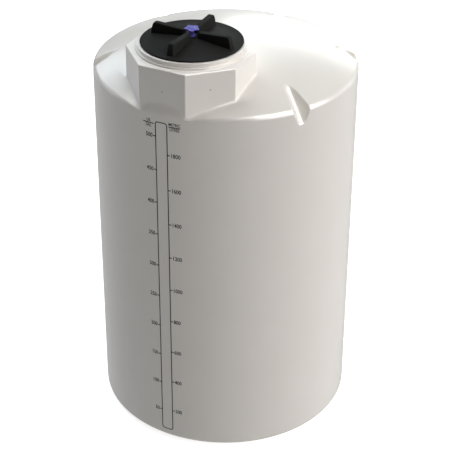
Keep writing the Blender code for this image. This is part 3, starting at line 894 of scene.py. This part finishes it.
def ribbonAlong(x, z, closed):
    # A ribbon of even width along a flat path: each point moved line / 2 along the path's normal
    # to both sides, then the four corners of its section wrapped on the wall.
    path = np.stack([x, z + 0 * x], -1)
    i = np.arange(len(path))
    after, before = (i + 1) % len(path), (i - 1) % len(path)
    if not closed:
        after[-1], before[0] = i[-1], i[0]
    tangent = path[after] - path[before]
    tangent /= np.hypot(*tangent.T)[:, None]
    normal = np.stack([-tangent[:, 1], tangent[:, 0]], -1) * scale["line"] / 2
    left, right, depth = (path + normal).T, (path - normal).T, scale["depth"]
    return np.stack([wrapFlat(*left, 0.0), wrapFlat(*right, 0.0),
                     wrapFlat(*right, depth), wrapFlat(*left, depth)], 1), closed


def ribbonMesh(name, ribbons):
    # Joins ribbons, each an array of sections of four points, open ones with their ends closed.
    verts, quads, first = [], [], 0
    for sections, closed in ribbons:
        count = len(sections)
        verts.append(sections.reshape(-1, 3))
        quads.append(gridFaces(count, 4, closed, first))
        if not closed:
            end = first + (count - 1) * 4
            quads.append([[first + 3, first + 2, first + 1, first], [end, end + 1, end + 2, end + 3]])
        first += count * 4
    return putMesh(name, np.concatenate(verts), np.concatenate(quads), [], 30.0)


def stripOutline():
    # A rounded rectangle as straight runs and quarter circles, in metres along the wall.
    g = scale
    c = g["corner"]
    x, high, low = g["halfAngle"] * g["skin"] - c, g["high"] - c, g["low"] + c
    return np.concatenate([arc(cx, cz, c, deg(start), deg(start + 90), 8) for cx, cz, start in
                           ((x, high, 0), (-x, high, 90), (-x, low, 180), (x, low, 270))])


def printText(name, text, x, z, height, align):
    # Plain built-in letters as flat outlines with a thickness, made a mesh, then wrapped.
    curve = bpy.data.curves.new(name, "FONT")
    curve.body = text
    curve.align_x = align
    curve.align_y = "CENTER"
    curve.resolution_u = 3
    curve.extrude = 0.01
    curve.offset = scale["weight"]
    letters = linked(name, curve)
    bpy.context.view_layer.update()
    mesh = bpy.data.meshes.new_from_object(letters.evaluated_get(bpy.context.evaluated_depsgraph_get()))
    bpy.data.objects.remove(letters)
    flat = np.empty(len(mesh.vertices) * 3, np.float32)
    mesh.vertices.foreach_get("co", flat)
    flatX, flatZ, side = flat.reshape(-1, 3).astype(float).T
    size = height / scale["capitals"]
    placed = wrapFlat(x + flatX * size * scale["stretch"], z + flatZ * size,
                      np.where(side > 0, 0.0, scale["depth"]))
    mesh.vertices.foreach_set("co", placed.astype(np.float32).ravel())
    mesh.update()
    return linked(name, mesh)


def makeScale():
    # The outline; a tick and a number for each mark, at zAtEmpty + volume * zPerCubicMetre; and two
    # unit words about a rule on each side.
    g = scale
    half = g["halfAngle"] * g["skin"]
    ribbons = [ribbonAlong(*stripOutline().T, True)]
    texts = []
    for side, step, last, unit in g["marks"]:
        ends = np.linspace(side * half, side * (half + g["tick"]), 5)
        x = side * (half + g["tick"] + g["textGap"])
        where, align = ("Left", "RIGHT") if side < 0 else ("Right", "LEFT")
        for value in range(step, last + 1, step):
            z = g["zAtEmpty"] + value * unit * g["zPerCubicMetre"]
            ribbons.append(ribbonAlong(ends, z, False))
            texts.append(printText(f"scaleNumber{where}{value}", str(value), x, z, g["textHeight"], align))
    for side, words in g["units"]:
        ends = side * (half + g["unitGap"] + np.linspace(0, g["unitRule"], 9))
        ribbons.append(ribbonAlong(ends, g["unitZ"], False))
        for word, step in zip(words, (1, -1)):
            z = g["unitZ"] + step * g["unitHeight"] * g["unitLift"]
            texts.append(printText(f"scaleUnit{word.title()}", word, ends[4], z, g["unitHeight"], "CENTER"))
    for piece in [ribbonMesh("scaleLines", ribbons)] + texts:
        finishPiece(piece, "blackInk", "tank", "lid")
    print("scale printed:", len(texts), "numbers and words")


makeScale()

studio = dict(
    floorHalf=60.0, floorColour=0.92, floorRoughness=0.9, floorSpecular=0.1,
    floorGlow=0.555,  # what the floor gives back to the object: alike everywhere
    floorLift=0.6,  # added where the camera sees the floor itself
    air=1.0,  # behind everything, for the camera alone
    lampDistance=8.0,
)


def makeStage():
    # A pale floor, wider than the view. What the camera sees of it is lit; to every other ray it
    # is one even glow, as from an endless floor.
    bpy.ops.mesh.primitive_plane_add(size=2 * studio["floorHalf"], location=(0, 0, 0))
    floor = bpy.context.object
    floor.name = "studioFloor"
    material = bpy.data.materials.new("paleFloor")
    material.use_nodes = True
    tree = material.node_tree
    shader = setSockets(tree, tree.nodes["Principled BSDF"], {
        "Base Color": (*[studio["floorColour"]] * 3, 1), "Roughness": studio["floorRoughness"],
        "Specular IOR Level": studio["floorSpecular"], "Emission Color": (1, 1, 1, 1),
        "Emission Strength": studio["floorLift"]})
    glow = newNode(tree, "Emission", {"Strength": studio["floorGlow"]})
    path = tree.nodes.new("ShaderNodeLightPath")
    mix = newNode(tree, "MixShader", {0: path.outputs["Is Camera Ray"], 1: glow.outputs["Emission"],
                                      2: shader.outputs["BSDF"]})
    setSockets(tree, tree.nodes["Material Output"], {"Surface": mix.outputs["Shader"]})
    floor.data.materials.append(material)


cameraView = dict(
    turn=deg(27.15),  # the camera stands this far round from the manway, towards +X
    pitch=deg(30.94593),
    roll=deg(0.182332),
    across=-0.00190512, distance=6.00312134, height=4.48179444,
    lens=114.04072, sensor=36.0,
)


def aimed(name, data, side, above, back, place):
    # A camera or lamp, which looks along -back.
    item = linked(name, data)
    item.matrix_world = Matrix(np.vstack([np.stack([side, above, back, place], 1), [0, 0, 0, 1]]).tolist())
    return item


def placeCamera():
    # Faces the tank's axis, then is pitched down and rolled about its own view.
    c = cameraView
    out, right = around(c["turn"]), sideways(c["turn"])
    back = np.cos(c["pitch"]) * out + np.sin(c["pitch"]) * up
    above = np.cross(back, right)
    cosRoll, sinRoll = np.cos(c["roll"]), np.sin(c["roll"])
    data = bpy.data.cameras.new("photoCamera")
    data.sensor_width = c["sensor"]
    data.lens = c["lens"]
    data.clip_end = 100
    bpy.context.scene.camera = aimed(
        "photoCamera", data, cosRoll * right + sinRoll * above, cosRoll * above - sinRoll * right, back,
        c["across"] * right + c["distance"] * out + c["height"] * up)


# Distant lights: azimuth, elevation and width in degrees, strength, colour. Azimuth and elevation
# are seen from the camera's side: 0 is behind the camera, +90 its right.
lights = {
    "keyNear": (38, 32, 24, 0.25, (1, 0.96, 0.925)),
    "keyMiddle": (62, 32, 24, 0.30, (1, 0.96, 0.925)),
    "keyFar": (86, 32, 24, 0.31, (1, 0.96, 0.925)),
    "lowNear": (38, 10, 24, 0.24, (1, 0.935, 0.93)),
    "lowMiddle": (62, 10, 24, 0.29, (1, 0.935, 0.93)),
    "lowFar": (86, 10, 24, 0.31, (1, 0.935, 0.93)),
    "rightHigh": (84, 50, 24, 0.58, (0.93, 0.92, 1)),
    "rightTop": (90, 70, 28, 0.16, (1, 1, 0.98)),
    "backRightLow": (120, 10, 28, 0.68, (0.92, 0.95, 1)),
    "backRight": (120, 50, 28, 0.12, (1, 1, 0.9)),
    "backLow": (165, 10, 30, 0.73, (0.96, 1, 0.985)),
    "back": (180, 30, 28, 0.35, (0.84, 0.93, 1)),
    "backLeft": (-150, 30, 28, 0.75, (0.86, 0.93, 1)),
    "backLeftHigh": (-140, 65, 30, 1.20, (0.98, 1, 0.98)),
    "leftLow": (-120, 17, 28, 0.45, (0.78, 0.81, 1)),
}
# lamps for reflections alone, one for each azimuth and elevation: the long bright window that
# shows in the shoulder and the edges
gloss = dict(azimuths=(40, 62, 82), elevations=(12, 37, 60), lamp=(29, 1.45, (1, 0.99, 0.97)))


def placeLights():
    # A lamp stands along (sin a cos e, -cos a cos e, sin e) and shines back along it.
    lamps = [(name, *values, True) for name, values in lights.items()]
    lamps += [(f"gloss{azimuth}x{elevation}", azimuth, elevation, *gloss["lamp"], False)
              for azimuth in gloss["azimuths"] for elevation in gloss["elevations"]]
    for name, azimuth, elevation, width, strength, colour, diffuse in lamps:
        a, e = deg(azimuth) + cameraView["turn"], deg(elevation)
        back = np.cos(e) * around(a) + np.sin(e) * up
        side = np.cross(up, back) / np.cos(e)
        data = bpy.data.lights.new(name, "SUN")
        data.angle = deg(width)
        data.energy = strength
        data.color = colour
        lamp = aimed(name, data, side, np.cross(back, side), back, studio["lampDistance"] * back)
        lamp.visible_diffuse = diffuse


def makeAir():
    # White where the camera looks past the floor, and nothing for any other ray.
    world = bpy.data.worlds.new("studioAir")
    bpy.context.scene.world = world
    world.use_nodes = True
    tree = world.node_tree
    path = tree.nodes.new("ShaderNodeLightPath")
    strength = mathNode(tree, "MULTIPLY", path.outputs["Is Camera Ray"], studio["air"])
    setSockets(tree, tree.nodes["Background"], {"Color": (1, 1, 1, 1), "Strength": strength})
    bpy.context.scene.view_settings.view_transform = "Standard"


makeStage()
placeCamera()
placeLights()
makeAir()
print("stage set")

bpy.context.view_layer.update()
